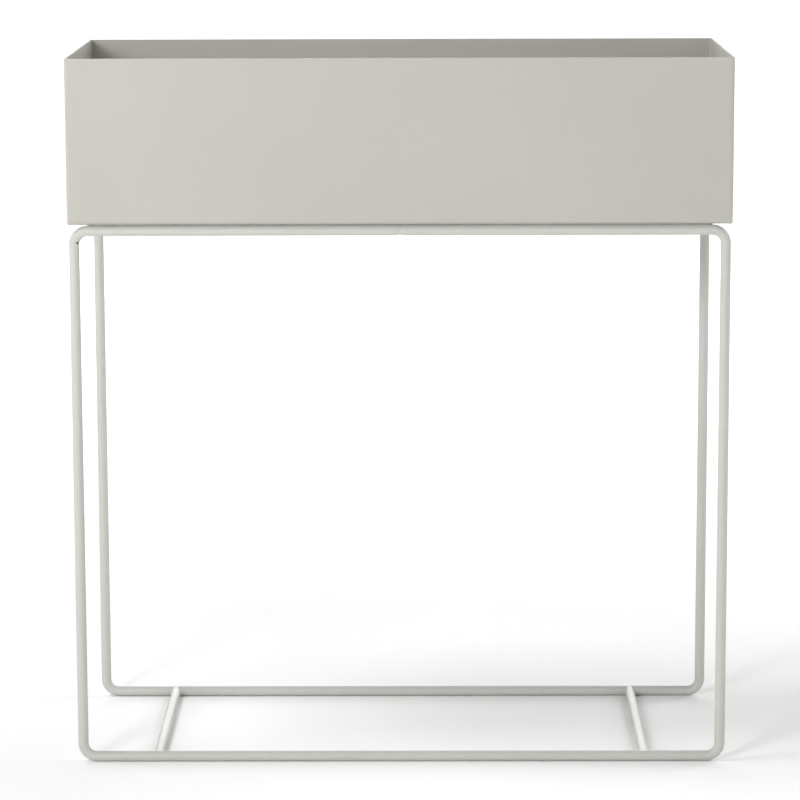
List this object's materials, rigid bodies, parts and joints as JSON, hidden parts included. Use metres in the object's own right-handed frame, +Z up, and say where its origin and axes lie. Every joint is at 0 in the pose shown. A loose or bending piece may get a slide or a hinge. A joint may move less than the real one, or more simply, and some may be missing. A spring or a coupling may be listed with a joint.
{
  "type": "raised planter on legs",
  "caption": "Shallow rectangular sheet-metal planter box raised on an open frame of bent round tube.",
  "frame": {"origin": "on the floor, under the middle of the object", "axes": "+X to the right along the tub's width, -Y out of the front, +Z up"},
  "size_m": [0.6, 0.25, 0.65],
  "materials": {
    "tub_coat": "satin fine-textured powder coat, light warm grey",
    "frame_coat": "satin fine-textured powder coat, light warm grey",
    "grey_rubber": "matt",
    "zinc_steel": "bright zinc plate"
  },
  "bodies": {
    "root": {"tub_channel": "tub_coat", "left_end_panel": "tub_coat", "right_end_panel": "tub_coat", "front_loop": "frame_coat", "rear_loop": "frame_coat", "left_lower_cross_bar": "frame_coat", "right_lower_cross_bar": "frame_coat", "left_upper_strap": "frame_coat", "right_upper_strap": "frame_coat", "front_rest_strip": "grey_rubber", "rear_rest_strip": "grey_rubber", "weld_studs": "zinc_steel", "spacer_bushes": "grey_rubber", "washers": "zinc_steel", "hex_nuts": "zinc_steel"}
  },
  "joints": []
}
